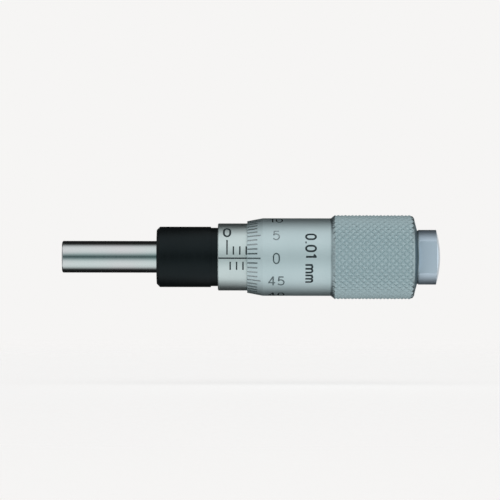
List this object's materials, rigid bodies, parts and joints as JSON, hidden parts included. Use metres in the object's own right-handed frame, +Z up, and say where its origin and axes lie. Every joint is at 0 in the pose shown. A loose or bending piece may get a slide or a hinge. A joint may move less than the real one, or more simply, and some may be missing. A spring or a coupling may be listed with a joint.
{
  "type": "micrometer head",
  "caption": "Plain-stem micrometer head: black clamping stem, ground spindle, graduated sleeve, bevelled thimble with a diamond-knurled grip and a domed end cap.",
  "frame": {"origin": "on the axis, in the plane of the graduated sleeve's front shoulder", "axes": "+X along the axis from the measuring face to the end cap, -Y out of the scale, +Z up"},
  "size_m": [0.0594, 0.0132, 0.0132],
  "materials": {
    "black_steel": "black oxide over fine turning",
    "satin_chrome": "satin chrome plating",
    "turned_steel": "turned",
    "ground_steel": "cylindrically ground and lapped",
    "bright_chrome": "bright chrome plating"
  },
  "bodies": {
    "sleeve": {"stem_body": "black_steel", "graduated_sleeve": "satin_chrome", "adjusting_nut": "turned_steel"},
    "spindle": {"spindle": "ground_steel"},
    "thimble": {"thimble": "satin_chrome", "end_cap": "bright_chrome"}
  },
  "joints": [
    {"name": "spindle_travel", "type": "slide", "parent": "sleeve", "child": "spindle", "axis": [1, 0, 0], "range_m": [-0.003, 0.01]},
    {"name": "thimble_turn", "type": "hinge", "parent": "spindle", "child": "thimble", "pos_m": [0.02, 0, 0], "axis": [1, 0, 0], "range_deg": [-2160, 7200]}
  ],
  "couplings": [
    {"joint": "spindle_travel", "follows": "thimble_turn", "m_per_rad": 0.000079577}
  ]
}
